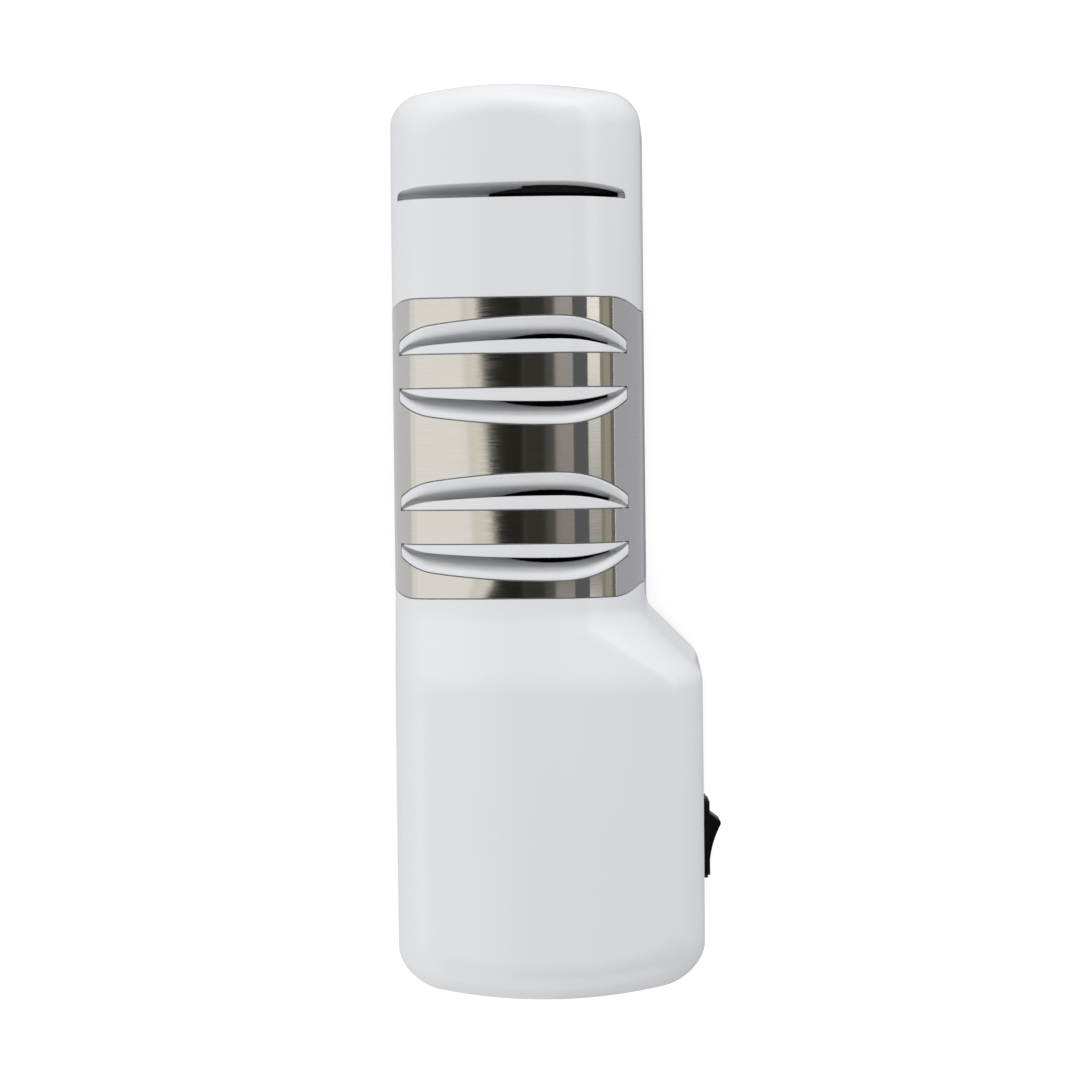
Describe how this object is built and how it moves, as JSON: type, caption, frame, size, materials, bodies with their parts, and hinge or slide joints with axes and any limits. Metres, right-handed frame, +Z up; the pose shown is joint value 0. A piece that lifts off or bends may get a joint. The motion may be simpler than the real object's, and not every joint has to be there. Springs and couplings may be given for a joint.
{
  "type": "electric knife sharpener",
  "caption": "Long white electric knife sharpener: a brushed steel band with leaning knife slots over sprung grinding discs, a wider motor end, a honing slot and a rocker switch.",
  "frame": {"origin": "middle of the floor area under the whole sharpener, level with the treads of its feet", "axes": "+X along the drive shaft from the motor end to the far end, -Y towards the user, +Z up"},
  "size_m": [0.2306, 0.0836, 0.082],
  "materials": {
    "white_plastic": "gloss",
    "brushed_steel": "brushed across the body",
    "grey_plastic": "fine grain",
    "rubber": "matt",
    "black_plastic": "satin",
    "nylon": "satin",
    "zinc_steel": "zinc plated",
    "laminated_steel": "stacked sheets",
    "copper": "enamelled wire",
    "bronze": "sintered",
    "spring_steel": "bright",
    "abrasive": "bonded grit"
  },
  "bodies": {
    "housing": {"upper_housing": "white_plastic", "steel_band": "brushed_steel", "base_plate": "grey_plastic", "foot_1": "rubber", "foot_2": "rubber", "foot_3": "rubber", "foot_4": "rubber", "housing_screw_1": "zinc_steel", "housing_screw_2": "zinc_steel", "housing_screw_3": "zinc_steel", "housing_screw_4": "zinc_steel", "housing_screw_5": "zinc_steel", "housing_screw_6": "zinc_steel", "inlet_bush": "black_plastic", "stator_stack": "laminated_steel", "coil_bobbin": "nylon", "coil_winding": "copper", "front_bearing_bracket": "zinc_steel", "rear_bearing_bracket": "zinc_steel", "front_bearing": "bronze", "rear_bearing": "bronze", "motor_screw_1": "zinc_steel", "motor_screw_2": "zinc_steel", "motor_nut_1": "zinc_steel", "motor_nut_2": "zinc_steel", "shaft_bracket": "zinc_steel", "shaft_bush": "bronze", "bracket_screw_1": "zinc_steel", "bracket_screw_2": "zinc_steel", "switch_housing": "black_plastic", "switch_terminal_1": "bronze", "switch_terminal_2": "bronze"},
    "rotor": {"rotor_core": "laminated_steel", "drive_shaft": "zinc_steel", "cooling_fan": "nylon", "coarse_hub": "zinc_steel", "coarse_spring": "spring_steel", "coarse_clip": "spring_steel", "fine_hub": "zinc_steel", "fine_spring": "spring_steel", "fine_clip": "spring_steel", "honing_disc": "abrasive", "honing_nut": "zinc_steel"},
    "coarse_disc_motor_side": {"coarse_disc_motor_side": "abrasive"},
    "coarse_disc_far_side": {"coarse_disc_far_side": "abrasive"},
    "fine_disc_motor_side": {"fine_disc_motor_side": "abrasive"},
    "fine_disc_far_side": {"fine_disc_far_side": "abrasive"},
    "rocker": {"switch_rocker": "black_plastic"}
  },
  "joints": [
    {"name": "rotor_spin", "type": "hinge", "parent": "housing", "child": "rotor", "pos_m": [0, 0.00085, 0.0505], "axis": [1, 0, 0], "continuous": true},
    {"name": "rocker_tilt", "type": "hinge", "parent": "housing", "child": "rocker", "pos_m": [-0.0767, -0.03205, 0.042], "axis": [0, 0, 1], "range_deg": [0, 30]},
    {"name": "coarse_motor_side_slide", "type": "slide", "parent": "rotor", "child": "coarse_disc_motor_side", "axis": [1, 0, 0], "range_m": [0, 0.001], "stiffness_N_per_m": 1500, "springref_m": -0.002, "deforming": ["coarse_spring"]},
    {"name": "coarse_far_side_slide", "type": "slide", "parent": "rotor", "child": "coarse_disc_far_side", "axis": [-1, 0, 0], "range_m": [0, 0.001], "stiffness_N_per_m": 1500, "springref_m": -0.002, "deforming": ["coarse_spring"]},
    {"name": "fine_motor_side_slide", "type": "slide", "parent": "rotor", "child": "fine_disc_motor_side", "axis": [1, 0, 0], "range_m": [0, 0.001], "stiffness_N_per_m": 1500, "springref_m": -0.002, "deforming": ["fine_spring"]},
    {"name": "fine_far_side_slide", "type": "slide", "parent": "rotor", "child": "fine_disc_far_side", "axis": [-1, 0, 0], "range_m": [0, 0.001], "stiffness_N_per_m": 1500, "springref_m": -0.002, "deforming": ["fine_spring"]}
  ]
}
